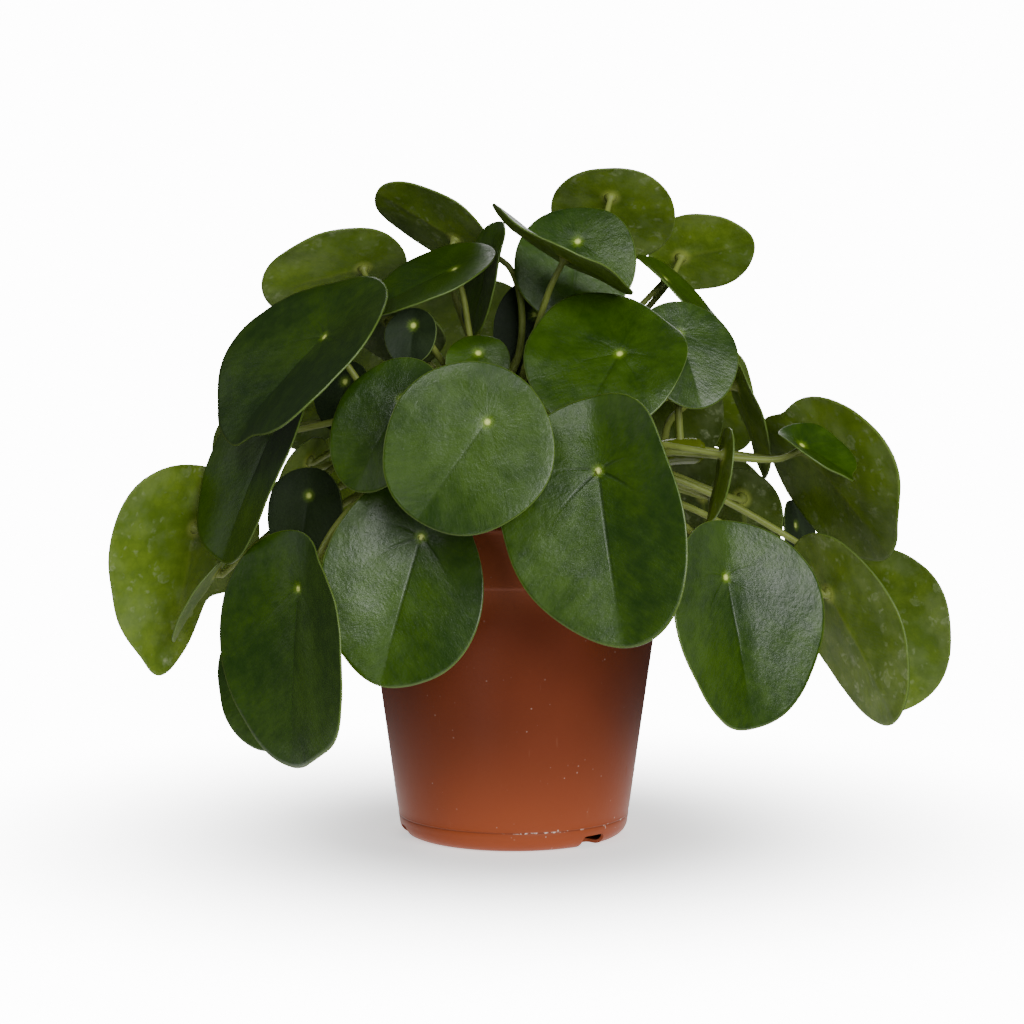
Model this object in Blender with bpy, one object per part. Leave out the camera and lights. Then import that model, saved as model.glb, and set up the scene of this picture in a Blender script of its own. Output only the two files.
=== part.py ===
"""Potted pilea, Pilea peperomioides, in a 12 cm nursery pot.

Metres, +Z up. The origin is the centre of the pot's underside, and the plant's full side faces -Y.
Four shoots grow out of the soil. Each leaf is one piece of its own: a round blade with its stalk,
joined under the blade at the pale dot, and the stalk's foot sits on its shoot.
"""

import math
from collections import namedtuple

import bmesh
import bpy
from mathutils import Matrix, Vector

MM = 0.001
GAP = 0.3 * MM  # clearance between pieces that touch
MERGE = 0.01 * MM  # points nearer than this become one
SHARP_ANGLE = 40  # degrees
UP = Vector((0, 0, 1))

# Pot
POT_HEIGHT = 122 * MM
POT_TOP_RADIUS = 59.6 * MM
WALL_SLOPE = 0.139  # outer radius gained for each unit of height
WALL = 1.2 * MM
BASE_THICKNESS = 1.6 * MM
BASE_CORNER = 5.5 * MM
BAND_HEIGHT = 23 * MM  # the plain band below the lip
BAND_STEP = 0.6 * MM
LIP = 1.0 * MM
POT_SIDES = 48
DRAIN_TURNS = (-46, 74, 194)  # degrees from +X
DRAIN_WIDTH = 11 * MM
DRAIN_HEIGHT = 4.6 * MM
DRAIN_DEPTH = 9 * MM
DRAIN_ROUNDING = 1.2 * MM

# Soil
SOIL_TOP = 111 * MM
SOIL_CROWN = 2.0 * MM  # how much higher the soil is in the middle
SOIL_SHOULDER = (0.5, 0.7)  # a point of the crown, as shares of its radius and height
SOCKET_DEPTH = 14 * MM  # how deep a shoot stands in the soil

# Shoots
SHOOT_SIDES = 10
SHOOT_STEPS = 12
DOME_TURNS = (30, 60)  # degrees up the round tip of a shoot
NEARBY = 0.01  # a small share of a shoot's length, for its direction
FIRST_LEAF = 0.34  # where the lowest stalk leaves a shoot, as a share of the shoot's length
LAST_LEAF = 0.93

# Leaves
BLADE_SIDES = 16
BLADE_THICKNESS = 1.2 * MM
RING_SHARE = 0.5
TIP_NARROWING = 0.05
STALK_SIDES = 8
STALK_STEPS = 5
STALK_FOOT_RADIUS = 1.9 * MM
STALK_TOP_RADIUS = 1.4 * MM
FOOT_OUT = 0.20  # how far a stalk first runs out and up from its shoot, as shares of its reach
FOOT_UP = 0.25
UNDER_BLADE = 0.25  # how far it runs straight down from the blade
RIM_LIFT = 1.1  # extra height of an arched stalk, as a share of its drop
RIM_REACH = 60 * MM  # a low leaf that hangs nearer than this has a stalk arched over the pot's rim
STALK_COLLAR = 1.5 * MM  # length of the cone between the blade's underside and the stalk

Shoot = namedtuple("Shoot", "points foot_radius tip_radius")
SHOOTS = {
    "shoot_main": Shoot(((-2, 5, 111), (-3, 4, 135), (-6, 2, 155), (-8, 0, 174)), 6.5, 4.5),
    "shoot_right": Shoot(((20, -8, 111), (27, -10, 130), (44, -12, 147), (67, -12, 146)), 5.5, 5.0),
    "shoot_left": Shoot(((-20, -5, 111), (-30, -7, 128), (-40, -9, 146), (-48, -10, 166)), 5.5, 4.2),
    "shoot_back": Shoot(((0, 24, 111), (3, 30, 128), (5, 35, 146), (6, 38, 168)), 5.5, 4.2),
}

# One row for each leaf, in millimetres and degrees. dot is the pale point where the stalk joins,
# faces is the blade's compass turn from -Y towards +X and its tilt up, turn swings the tip round
# the dot, and size is the length and width. fold lifts the sides, arch drops the tip, and upper is
# the share of the length above the dot.
Leaf = namedtuple("Leaf", "shoot dot faces turn size fold arch upper", defaults=(0.30,))
LEAVES = (
    # in front
    Leaf("shoot_main", (-9, -95, 162), (-8, 14), -35, (60, 60), 0.08, 0.10),
    Leaf("shoot_right", (29, -92, 145), (-24, 15), 14, (88, 72), 0.28, 0.06),
    Leaf("shoot_main", (-33, -63, 119), (-10, 14), -14, (79, 60), 0.24, 0.06),
    Leaf("shoot_main", (-40, -60, 168), (-30, 25), -20, (52, 44), 0.15, 0.10),
    Leaf("shoot_main", (38, -51, 184), (-10, 42), -20, (64, 68), 0.10, 0.08, 0.44),
    Leaf("shoot_right", (61, -22, 190), (20, 25), 10, (42, 40), 0.10, 0.05),
    Leaf("shoot_right", (77, -50, 103), (38, 12), 5, (78, 70), 0.33, 0.05),
    Leaf("shoot_main", (-13, -20, 183), (0, 35), 0, (26, 24), 0.10, 0.05),
    # the left side
    Leaf("shoot_left", (-78, -52, 99), (-50, 6), 0, (86, 70), 0.27, 0.08, 0.24),
    Leaf("shoot_left", (-76, -20, 130), (-20, 10), -5, (36, 30), 0.15, 0.05),
    Leaf("shoot_left", (-90, -10, 154), (-60, 25), -5, (78, 66), 0.22, 0.08),
    Leaf("shoot_left", (-70, -20, 189), (-53, 41), -22, (76, 74), 0.20, 0.08),
    Leaf("shoot_main", (-64, 8, 171), (-30, 20), 0, (28, 24), 0.10, 0.05),
    Leaf("shoot_left", (-79, 22, 140), (-120, 20), 0, (32, 30), 0.10, 0.05),
    Leaf("shoot_left", (-123, 20, 114), (-140, 10), 8, (80, 70), 0.12, 0.06),
    Leaf("shoot_left", (-113, 4, 99), (-95, 35), 0, (46, 30), 0.10, 0.06),
    Leaf("shoot_left", (-94, -12, 68), (-35, 5), 0, (50, 42), 0.10, 0.05),
    Leaf("shoot_left", (-104, 32, 155), (-120, 25), 0, (34, 30), 0.10, 0.05),
    # the top
    Leaf("shoot_back", (24, 0, 224), (-10, 30), 0, (50, 46), 0.12, 0.06),
    Leaf("shoot_main", (19, -34, 218), (100, 58), -115, (58, 60), 0.08, 0.05),
    Leaf("shoot_main", (37, 20, 241), (170, 45), 0, (50, 48), 0.08, 0.06),
    Leaf("shoot_back", (65, 40, 218), (170, 35), -105, (42, 36), 0.08, 0.05),
    Leaf("shoot_main", (58, 10, 210), (72, 48), 0, (46, 34), 0.10, 0.06),
    Leaf("shoot_main", (-22, -15, 214), (-46, 59), -40, (51, 46), 0.12, 0.06),
    Leaf("shoot_main", (-22, 25, 225), (137, 47), 142, (50, 44), 0.10, 0.05),
    Leaf("shoot_main", (-58, 30, 214), (-163, 51), 69, (57, 52), 0.08, 0.06),
    Leaf("shoot_main", (-9, -5, 219), (-70, 15), 0, (44, 36), 0.15, 0.05),
    Leaf("shoot_main", (8, 14, 196), (0, 5), 0, (46, 32), 0.10, 0.05),
    Leaf("shoot_main", (-37, -20, 193), (-20, 15), 0, (22, 20), 0.30, 0.05),
    Leaf("shoot_main", (-46, -2, 194), (160, 50), 0, (36, 38), 0.10, 0.05),
    # the right side
    Leaf("shoot_right", (118, -15, 93), (120, 15), -34, (78, 60), 0.12, 0.06),
    Leaf("shoot_right", (142, 28, 87), (150, 10), -5, (67, 56), 0.10, 0.05),
    Leaf("shoot_right", (111, 9, 145), (127, 25), -36, (74, 60), 0.10, 0.06),
    Leaf("shoot_right", (107, -20, 149), (46, 53), 32, (34, 26), 0.40, 0.05),
    Leaf("shoot_right", (86, 19, 169), (98, 20), 0, (53, 40), 0.10, 0.05),
    Leaf("shoot_main", (77, -36, 146), (100, -10), 0, (35, 23), 0.15, 0.05),
    Leaf("shoot_back", (88, 18, 126), (150, 15), 0, (40, 32), 0.10, 0.05),
    Leaf("shoot_back", (110, 31, 114), (60, 10), 0, (34, 28), 0.10, 0.05),
    Leaf("shoot_main", (62, 27, 166), (160, 20), 0, (42, 38), 0.10, 0.05),
    # the back
    Leaf("shoot_back", (-20, 100, 158), (-170, 15), 10, (70, 66), 0.12, 0.06),
    Leaf("shoot_back", (38, 92, 150), (165, 15), -8, (80, 74), 0.20, 0.06),
    Leaf("shoot_back", (-60, 72, 128), (-150, 12), 5, (72, 66), 0.20, 0.06),
    Leaf("shoot_back", (76, 70, 123), (145, 15), 0, (70, 64), 0.15, 0.06),
    Leaf("shoot_back", (5, 76, 120), (178, 10), 0, (62, 58), 0.15, 0.06),
    Leaf("shoot_back", (-70, 60, 175), (-140, 35), 0, (60, 56), 0.10, 0.06),
    Leaf("shoot_back", (30, 60, 190), (170, 40), 0, (62, 58), 0.10, 0.06),
    Leaf("shoot_back", (-18, 62, 196), (-170, 38), 0, (58, 54), 0.10, 0.06),
    Leaf("shoot_back", (78, 62, 172), (150, 30), 0, (52, 46), 0.10, 0.06),
)


# --- Helpers -------------------------------------------------------------------------------

def clear_scene():
    for obj in list(bpy.data.objects):
        bpy.data.objects.remove(obj)


def material(name, colour, roughness, metallic=0.0):
    made = bpy.data.materials.new(name)
    made.use_nodes = True
    shader = made.node_tree.nodes["Principled BSDF"]
    shader.inputs["Base Color"].default_value = (*colour, 1.0)
    shader.inputs["Roughness"].default_value = roughness
    shader.inputs["Metallic"].default_value = metallic
    return made


def finish_object(name, bm, finish):
    """Turns a bmesh into a named object with smooth faces and outward normals."""
    bmesh.ops.recalc_face_normals(bm, faces=bm.faces)
    mesh = bpy.data.meshes.new(name)
    bm.to_mesh(mesh)
    bm.free()
    mesh.shade_smooth()
    mesh.set_sharp_from_angle(angle=math.radians(SHARP_ANGLE))
    mesh.materials.append(finish)
    made = bpy.data.objects.new(name, mesh)
    bpy.context.scene.collection.objects.link(made)
    return made


def add_loop(bm, points):
    """A closed loop of new edges through the points."""
    corners = [bm.verts.new(point) for point in points]
    return [bm.edges.new((corners[i - 1], corners[i])) for i in range(len(corners))]


def skin(bm, loops):
    """Joins a row of point loops with faces. Returns the edges of the first and the last loop."""
    rings = [add_loop(bm, points) for points in loops]
    for lower, upper in zip(rings, rings[1:]):
        bmesh.ops.bridge_loops(bm, edges=lower + upper)
    return rings[0], rings[-1]


def circle(centre, side, other, radius, count):
    """Points round a circle that starts at side and turns towards other."""
    turns = [2 * math.pi * i / count for i in range(count)]
    return [centre + radius * (math.cos(a) * side + math.sin(a) * other) for a in turns]


def frames_along(path, side):
    """(point, side, other) at each point of the path, carried along without twist."""
    frames = []
    before = None
    for i, point in enumerate(path):
        ahead = (path[min(i + 1, len(path) - 1)] - path[max(i - 1, 0)]).normalized()
        if before is not None:
            side = before.rotation_difference(ahead) @ side
        side = (side - side.dot(ahead) * ahead).normalized()
        frames.append((point, side, ahead.cross(side)))
        before = ahead
    return frames


def bezier(a, b, c, d, share):
    rest = 1 - share
    return rest**3 * a + 3 * rest**2 * share * b + 3 * rest * share**2 * c + share**3 * d


# --- Pot and soil --------------------------------------------------------------------------

def wall_radius(height):
    """Outer radius of the plain wall at a height."""
    return POT_TOP_RADIUS - WALL_SLOPE * (POT_HEIGHT - height)


def arc(centre, radius, start, end, count):
    turns = [math.radians(start + (end - start) * i / count) for i in range(count + 1)]
    return [(centre[0] + radius * math.cos(a), centre[1] + radius * math.sin(a)) for a in turns]


def turned(name, profile, finish):
    """Spins a closed profile of (radius, height) points round the Z axis."""
    bm = bmesh.new()
    corners = [bm.verts.new((radius, 0, height)) for radius, height in profile]
    edges = [bm.edges.new(pair) for pair in zip(corners, corners[1:])]
    centre = Vector((0, 0, 0))
    bmesh.ops.spin(bm, geom=corners + edges, cent=centre, axis=UP, angle=2 * math.pi, steps=POT_SIDES)
    bmesh.ops.remove_doubles(bm, verts=bm.verts, dist=MERGE)
    return finish_object(name, bm, finish)


def cut(target, cutter):
    """Takes the cutter's shape away from the target."""
    cutter.hide_render = True
    cutter.display_type = "WIRE"
    boolean = target.modifiers.new("Cut " + cutter.name, "BOOLEAN")
    boolean.object = cutter
    boolean.operation = "DIFFERENCE"
    boolean.solver = "EXACT"


def drain_cutter(turn, finish):
    """A slot through the corner of the pot's base."""
    bm = bmesh.new()
    bmesh.ops.create_cube(bm, size=1.0)
    bmesh.ops.scale(bm, verts=bm.verts, vec=(2 * DRAIN_DEPTH, DRAIN_WIDTH, 2 * DRAIN_HEIGHT))
    bmesh.ops.bevel(
        bm, geom=bm.edges, offset=DRAIN_ROUNDING, segments=2, profile=0.5, affect="EDGES", material=-1
    )
    bmesh.ops.translate(bm, verts=bm.verts, vec=(wall_radius(0), 0, 0))
    around = Matrix.Rotation(math.radians(turn), 3, "Z")
    bmesh.ops.rotate(bm, verts=bm.verts, cent=(0, 0, 0), matrix=around)
    return finish_object(f"cutter_drain_{turn}", bm, finish)


def make_pot():
    finish = material("terracotta_plastic", (0.22, 0.055, 0.028), 0.42)
    band_start = POT_HEIGHT - BAND_HEIGHT
    corner = (wall_radius(BASE_CORNER) - BASE_CORNER, BASE_CORNER)
    top = wall_radius(POT_HEIGHT)
    profile = [(0, 0)]
    profile += arc(corner, BASE_CORNER, -90, 0, 4)
    profile += [
        (wall_radius(band_start), band_start),
        (wall_radius(band_start) + BAND_STEP, band_start + BAND_STEP),
        (top + BAND_STEP, POT_HEIGHT - 2 * LIP),
        (top + LIP, POT_HEIGHT - LIP),
        (top + LIP - BAND_STEP, POT_HEIGHT),
        (top - WALL, POT_HEIGHT),
    ]
    profile += arc(corner, BASE_CORNER - WALL, 0, -90, 3)[:-1]
    profile += [(corner[0], BASE_THICKNESS), (0, BASE_THICKNESS)]
    pot = turned("pot", profile, finish)
    for turn in DRAIN_TURNS:
        cut(pot, drain_cutter(turn, finish))


def make_soil():
    finish = material("potting_soil", (0.035, 0.022, 0.014), 0.95)
    inside = WALL + GAP
    corner_start = BASE_THICKNESS + BASE_CORNER
    shoulder_radius, shoulder_height = SOIL_SHOULDER
    profile = [
        (0, BASE_THICKNESS + GAP),
        (wall_radius(corner_start) - inside - BASE_CORNER, BASE_THICKNESS + GAP),
        (wall_radius(corner_start) - inside, corner_start + GAP),
        (wall_radius(SOIL_TOP) - inside, SOIL_TOP),
        (shoulder_radius * wall_radius(SOIL_TOP), SOIL_TOP + shoulder_height * SOIL_CROWN),
        (0, SOIL_TOP + SOIL_CROWN),
    ]
    soil = turned("soil", profile, finish)
    for name in SHOOTS:
        cut(soil, make_shoot("cutter_" + name, SHOOTS[name], GAP, finish))


# --- Shoots --------------------------------------------------------------------------------

def shoot_point(shoot, share):
    """A point on the middle line of a shoot, above its socket."""
    return bezier(*[Vector(point) * MM for point in shoot.points], share)


def shoot_radius(shoot, share):
    return (shoot.foot_radius + (shoot.tip_radius - shoot.foot_radius) * share) * MM


def make_shoot(name, shoot, swell, finish):
    """A tapering stem with a rounded tip. swell widens it, to cut its socket in the soil."""
    foot = shoot_point(shoot, 0)
    path = [foot - (SOCKET_DEPTH + swell) * UP]
    path += [shoot_point(shoot, i / SHOOT_STEPS) for i in range(SHOOT_STEPS + 1)]
    radii = [shoot_radius(shoot, 0) + swell]
    radii += [shoot_radius(shoot, i / SHOOT_STEPS) + swell for i in range(SHOOT_STEPS + 1)]
    ahead = (path[-1] - path[-2]).normalized()
    tip = path[-1]
    tip_radius = radii[-1]
    for turn in DOME_TURNS:
        angle = math.radians(turn)
        path.append(tip + math.sin(angle) * tip_radius * ahead)
        radii.append(math.cos(angle) * tip_radius)
    bm = bmesh.new()
    frames = frames_along(path, Vector((1, 0, 0)))
    loops = [circle(*frame, radius, SHOOT_SIDES) for frame, radius in zip(frames, radii)]
    foot_edges, tip_edges = skin(bm, loops)
    bmesh.ops.holes_fill(bm, edges=foot_edges + tip_edges, sides=0)
    return finish_object(name, bm, finish)


# --- Leaves --------------------------------------------------------------------------------

def blade_axes(leaf):
    """(normal, tip direction, side direction) of a blade."""
    turn, tilt = [math.radians(angle) for angle in leaf.faces]
    swing = math.radians(leaf.turn)
    level = Vector((math.sin(turn), -math.cos(turn), 0))
    normal = math.cos(tilt) * level + math.sin(tilt) * UP
    down = (normal.z * normal - UP).normalized()
    side = normal.cross(down)
    tip = math.cos(swing) * down + math.sin(swing) * side
    return normal, tip, normal.cross(tip)


def blade_points(leaf, share):
    """Points of the blade's upper face, on the outline scaled by share towards the dot."""
    normal, tip, side = blade_axes(leaf)
    length = leaf.size[0] * MM
    width = leaf.size[1] * MM
    points = []
    for i in range(BLADE_SIDES):
        turn = 2 * math.pi * i / BLADE_SIDES
        along = share * length * (0.5 - leaf.upper + 0.5 * math.cos(turn))
        across = share * width * 0.5 * math.sin(turn) * (1 - TIP_NARROWING * math.cos(turn))
        lift = leaf.fold * abs(across) - leaf.arch * along**2 / length
        points.append(Vector(leaf.dot) * MM + along * tip + across * side + lift * normal)
    return points


def stalk_path(leaf, attach):
    """Points from under the blade to the shoot, with the direction the foot faces."""
    normal = blade_axes(leaf)[0]
    shoot = SHOOTS[leaf.shoot]
    centre = shoot_point(shoot, attach)
    ahead = shoot_point(shoot, attach + NEARBY) - shoot_point(shoot, attach - NEARBY)
    ahead.normalize()
    top = Vector(leaf.dot) * MM - (BLADE_THICKNESS + STALK_COLLAR) * normal
    out = top - centre
    outward = out - out.dot(ahead) * ahead
    outward.z = max(outward.z, 0)
    outward = (outward - outward.dot(ahead) * ahead).normalized()
    foot = centre + (shoot_radius(shoot, attach) + GAP) * outward
    reach = (top - foot).length
    rise = foot + FOOT_OUT * reach * outward + FOOT_UP * reach * UP
    run = math.hypot(top.x - foot.x, top.y - foot.y)
    arch_over = RIM_LIFT * max(0, foot.z - top.z) * min(1, (RIM_REACH / run) ** 2)
    under = top - UNDER_BLADE * reach * normal + arch_over * UP
    path = [bezier(top, under, rise, foot, i / STALK_STEPS) for i in range(STALK_STEPS + 1)]
    return path, outward


def stalk_loops(leaf, attach):
    """Circles from under the blade to the foot, which lies flat against its shoot."""
    path, outward = stalk_path(leaf, attach)
    frames = frames_along(path, blade_axes(leaf)[2])
    foot, foot_side, _ = frames[-1]
    foot_side = (foot_side - foot_side.dot(outward) * outward).normalized()
    frames[-1] = (foot, foot_side, foot_side.cross(outward))
    widening = (STALK_FOOT_RADIUS - STALK_TOP_RADIUS) / STALK_STEPS
    return [
        circle(*frame, STALK_TOP_RADIUS + i * widening, STALK_SIDES) for i, frame in enumerate(frames)
    ]


def make_leaf(name, leaf, attach, finish):
    drop = BLADE_THICKNESS * blade_axes(leaf)[0]
    outline = blade_points(leaf, 1.0)
    ring = blade_points(leaf, RING_SHARE)
    loops = [ring, outline, [p - drop for p in outline], [p - drop for p in ring]]
    loops += stalk_loops(leaf, attach)
    bm = bmesh.new()
    ring_edges, foot_edges = skin(bm, loops)
    bmesh.ops.holes_fill(bm, edges=foot_edges, sides=0)
    dot = bm.verts.new(Vector(leaf.dot) * MM)
    for edge in ring_edges:
        bm.faces.new((dot, *edge.verts))
    return finish_object(name, bm, finish)


def climb(leaf):
    """How steeply a leaf's dot lies above the middle of its shoot."""
    out = Vector(leaf.dot) * MM - shoot_point(SHOOTS[leaf.shoot], 0.5)
    return math.atan2(out.z, math.hypot(out.x, out.y))


def make_leaves():
    """Stalks leave each shoot in order, with the lowest leaf lowest."""
    finish = material("leaf_green", (0.045, 0.12, 0.016), 0.42)
    names = {leaf: f"leaf_{number:02d}" for number, leaf in enumerate(LEAVES, 1)}
    for name in SHOOTS:
        own = sorted([leaf for leaf in LEAVES if leaf.shoot == name], key=climb)
        for place, leaf in enumerate(own):
            attach = FIRST_LEAF + (LAST_LEAF - FIRST_LEAF) * place / (len(own) - 1)
            make_leaf(names[leaf], leaf, attach, finish)


clear_scene()
make_pot()
make_soil()
stem_green = material("stem_green", (0.30, 0.34, 0.10), 0.5)
for shoot_name, shoot_shape in SHOOTS.items():
    make_shoot(shoot_name, shoot_shape, 0, stem_green)
make_leaves()
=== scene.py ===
# %% [markdown]
# # A potted pilea
#
# A young Pilea peperomioides in a thin plastic nursery pot. Round leaves hang on long stalks from
# four short shoots, so the plant is mostly leaf seen from the front, and mostly underside at its
# edges. The CAD model gives every piece its place and size. This file gives each one its real
# surface: curved blades, veins, stalks, bark, soil and moulded plastic.

# %% Load the CAD frame
import math
import random

import bmesh
import bpy
import numpy as np
from mathutils import Matrix, Vector, noise


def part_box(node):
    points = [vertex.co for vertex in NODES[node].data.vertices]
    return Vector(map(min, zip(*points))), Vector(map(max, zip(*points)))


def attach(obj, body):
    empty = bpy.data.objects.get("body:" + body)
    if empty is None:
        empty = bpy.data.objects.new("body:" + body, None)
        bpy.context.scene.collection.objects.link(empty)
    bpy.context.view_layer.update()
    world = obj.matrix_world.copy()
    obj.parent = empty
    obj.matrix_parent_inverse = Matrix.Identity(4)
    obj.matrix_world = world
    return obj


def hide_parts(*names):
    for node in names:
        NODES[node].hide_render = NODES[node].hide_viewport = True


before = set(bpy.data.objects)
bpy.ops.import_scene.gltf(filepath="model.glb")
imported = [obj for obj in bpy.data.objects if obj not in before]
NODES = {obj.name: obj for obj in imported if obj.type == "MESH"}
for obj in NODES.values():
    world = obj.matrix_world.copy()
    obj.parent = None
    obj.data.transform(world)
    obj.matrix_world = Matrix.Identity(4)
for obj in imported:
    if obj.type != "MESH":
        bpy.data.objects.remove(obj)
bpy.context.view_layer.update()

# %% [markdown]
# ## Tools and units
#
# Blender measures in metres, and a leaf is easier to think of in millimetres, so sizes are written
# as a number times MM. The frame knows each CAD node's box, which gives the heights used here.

MM = 0.001
UP = Vector((0, 0, 1))
_, POT_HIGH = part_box("pot")
_, SOIL_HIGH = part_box("soil")
print("CAD nodes:", len(NODES), "pot height in mm:", round(POT_HIGH.z / MM, 1))

# %% [markdown]
# ## Camera
#
# The plant is seen from a little above, from far enough away that the pot hardly tapers by
# perspective. A long lens at about one metre does that. The camera aims at the middle of the rim.

# %% Camera
CAMERA_DISTANCE = 1.1
CAMERA_RISE = math.radians(5.3)
LENS_MM = 102.4
SENSOR_MM = 36.0
SHIFT = -0.0015  # a share of the picture's width, so small that it only centres the plant
camera_data = bpy.data.cameras.new("camera")
camera_data.lens = LENS_MM
camera_data.sensor_width = SENSOR_MM
camera_data.shift_x = SHIFT
camera = bpy.data.objects.new("camera", camera_data)
back = Vector((0, -math.cos(CAMERA_RISE), math.sin(CAMERA_RISE)))
camera.location = Vector((0, 0, POT_HIGH.z)) + CAMERA_DISTANCE * back
camera.rotation_euler = (-back).to_track_quat("-Z", "Y").to_euler()
bpy.context.scene.collection.objects.link(camera)
bpy.context.scene.camera = camera
print("camera at", [round(value, 3) for value in camera.location])

# %% [markdown]
# ## Materials from expressions
#
# A finish is easier to read as a sum than as a drawing of nodes. A Signal wraps one socket, and
# adding or multiplying signals adds Math nodes.

# %% Signals
class Signal:
    """A value that changes over a surface."""

    def __init__(self, finish, socket):
        self.finish = finish
        self.socket = socket

    def __add__(self, other):
        return self.finish.math_of("ADD", self, other)

    def __sub__(self, other):
        return self.finish.math_of("SUBTRACT", self, other)

    def __rsub__(self, other):
        return self.finish.math_of("SUBTRACT", other, self)

    def __mul__(self, other):
        return self.finish.math_of("MULTIPLY", self, other)

    def __abs__(self):
        return self.finish.math_of("ABSOLUTE", self)

    __radd__ = __add__
    __rmul__ = __mul__


print("signals add, subtract and multiply")

# %% [markdown]
# A Finish is one material, and its node method makes any node: first its settings, then what goes
# into its sockets. The other methods name the few nodes that every finish here needs.

# %% Finishes
class Finish:
    """One material, with the nodes that drive its shader."""

    def __init__(self, name, constants=None):
        self.material = bpy.data.materials.new(name)
        self.material.use_nodes = True
        self.tree = self.material.node_tree
        self.shader = self.tree.nodes["Principled BSDF"]
        for socket, value in (constants or {}).items():
            self.feed(self.shader.inputs[socket], value)

    def feed(self, socket, value):
        if isinstance(value, Signal):
            self.tree.links.new(value.socket, socket)
        else:
            socket.default_value = value

    def node(self, kind, settings=None, sockets=None, output=0):
        made = self.tree.nodes.new(kind)
        for name, value in (settings or {}).items():
            setattr(made, name, value)
        for name, value in (sockets or {}).items():
            self.feed(made.inputs[name], value)
        return Signal(self, made.outputs[output])

    def attribute(self, name):
        """The three parts of a vector that each vertex carries."""
        vector = self.node("ShaderNodeAttribute", {"attribute_name": name}, output="Vector")
        return [self.node("ShaderNodeSeparateXYZ", {}, {0: vector}, part) for part in "XYZ"]

    def place(self):
        return self.node("ShaderNodeTexCoord", output="Object")

    def math_of(self, operation, *values):
        return self.node("ShaderNodeMath", {"operation": operation}, dict(enumerate(values)))

    def vector(self, x, y, z):
        return self.node("ShaderNodeCombineXYZ", {}, {0: x, 1: y, 2: z})

    def noise(self, scale, where=None, detail=2.0, rough=0.5):
        where = where or self.place()
        sockets = {"Vector": where, "Scale": scale, "Detail": detail, "Roughness": rough}
        return self.node("ShaderNodeTexNoise", {}, sockets)

    def cells(self, scale, where=None, feature="F1", jitter=1.0):
        where = where or self.place()
        sockets = {"Vector": where, "Scale": scale, "Randomness": jitter}
        return self.node("ShaderNodeTexVoronoi", {"feature": feature}, sockets)

    def fade(self, value, low, high):
        """0 below low and 1 above high, with a smooth step between."""
        sockets = {"Value": value, "From Min": low, "From Max": high}
        return self.node("ShaderNodeMapRange", {"interpolation_type": "SMOOTHSTEP"}, sockets)

    def mix(self, share, first, second):
        """From the first colour to the second. A Mix node's colours are its sockets 6 and 7."""
        first, second = [part if isinstance(part, Signal) else (*part, 1.0) for part in (first, second)]
        return self.node("ShaderNodeMix", {"data_type": "RGBA"}, {0: share, 6: first, 7: second}, 2)

    def surface(self, colour, roughness, height, depth):
        """Links the colour, the roughness and a bump of that depth in metres."""
        self.feed(self.shader.inputs["Base Color"], colour)
        self.feed(self.shader.inputs["Roughness"], roughness)
        bump = self.node("ShaderNodeBump", {}, {"Height": height, "Distance": depth, "Strength": 1.0})
        self.feed(self.shader.inputs["Normal"], bump)


print("a finish is a sum of signals")

# %% [markdown]
# ## Studio lights
#
# A wide soft light in front on the right lays the sheen on the blades, and a smaller one above on
# the left makes the soft shadows. Weak fills on both sides and low on the left keep the edges from
# going black, and one behind lights the far side. All six aim at the middle of the plant.

# %% Soft lights
PLANT_MIDDLE = Vector((0, 0, 0.14))


def soft_light(name, place, width, height, power):
    """A rectangular light. The place and the sizes are in metres, the power in watts."""
    data = bpy.data.lights.new(name, "AREA")
    data.shape = "RECTANGLE"
    data.size = width
    data.size_y = height
    data.energy = power
    light = bpy.data.objects.new(name, data)
    light.location = place
    toward = PLANT_MIDDLE - light.location
    light.rotation_euler = toward.to_track_quat("-Z", "Y").to_euler()
    bpy.context.scene.collection.objects.link(light)


soft_light("right_softbox", (0.68, -1.38, 0.58), 1.40, 0.72, 28)
soft_light("left_key", (-0.60, -1.05, 1.30), 0.45, 0.45, 6)
soft_light("left_fill", (-1.5, 0.1, 0.6), 0.5, 1.0, 1.2)
soft_light("right_fill", (1.5, 0.3, 0.6), 0.5, 1.0, 1.2)
soft_light("low_fill", (-0.62, -1.25, -0.22), 0.30, 0.70, 2.2)
soft_light("back_fill", (0.2, 1.4, 1.1), 1.1, 0.9, 13)
print("six soft lights")

# %% [markdown]
# ## Room
#
# The room looks white but gives little light, because the gaps between the leaves are dark. So the
# world is two backgrounds: a bright one for what the camera sees directly, and a dim one for all
# other rays.

# %% White room
ROOM_LIGHT = 0.07
ROOM_WHITE = 14.0
WHITE = (1, 1, 1, 1)
world = bpy.data.worlds.new("room")
world.use_nodes = True
bpy.context.scene.world = world
room = world.node_tree
dim = room.nodes["Background"]
bright = room.nodes.new("ShaderNodeBackground")
for backdrop, strength in ((dim, ROOM_LIGHT), (bright, ROOM_WHITE)):
    backdrop.inputs["Strength"].default_value = strength
    backdrop.inputs["Color"].default_value = WHITE
light_path = room.nodes.new("ShaderNodeLightPath")
either = room.nodes.new("ShaderNodeMixShader")
room.links.new(light_path.outputs["Is Camera Ray"], either.inputs[0])
room.links.new(dim.outputs[0], either.inputs[1])
room.links.new(bright.outputs[0], either.inputs[2])
room.links.new(either.outputs[0], room.nodes["World Output"].inputs["Surface"])
print("room light:", ROOM_LIGHT)

# %% [markdown]
# ## Floor
#
# The floor is a pale disc that fades out, so no horizon shows. It glows a little, so that it is
# nearly as white as the room and still takes the plant's soft shadow.

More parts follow.
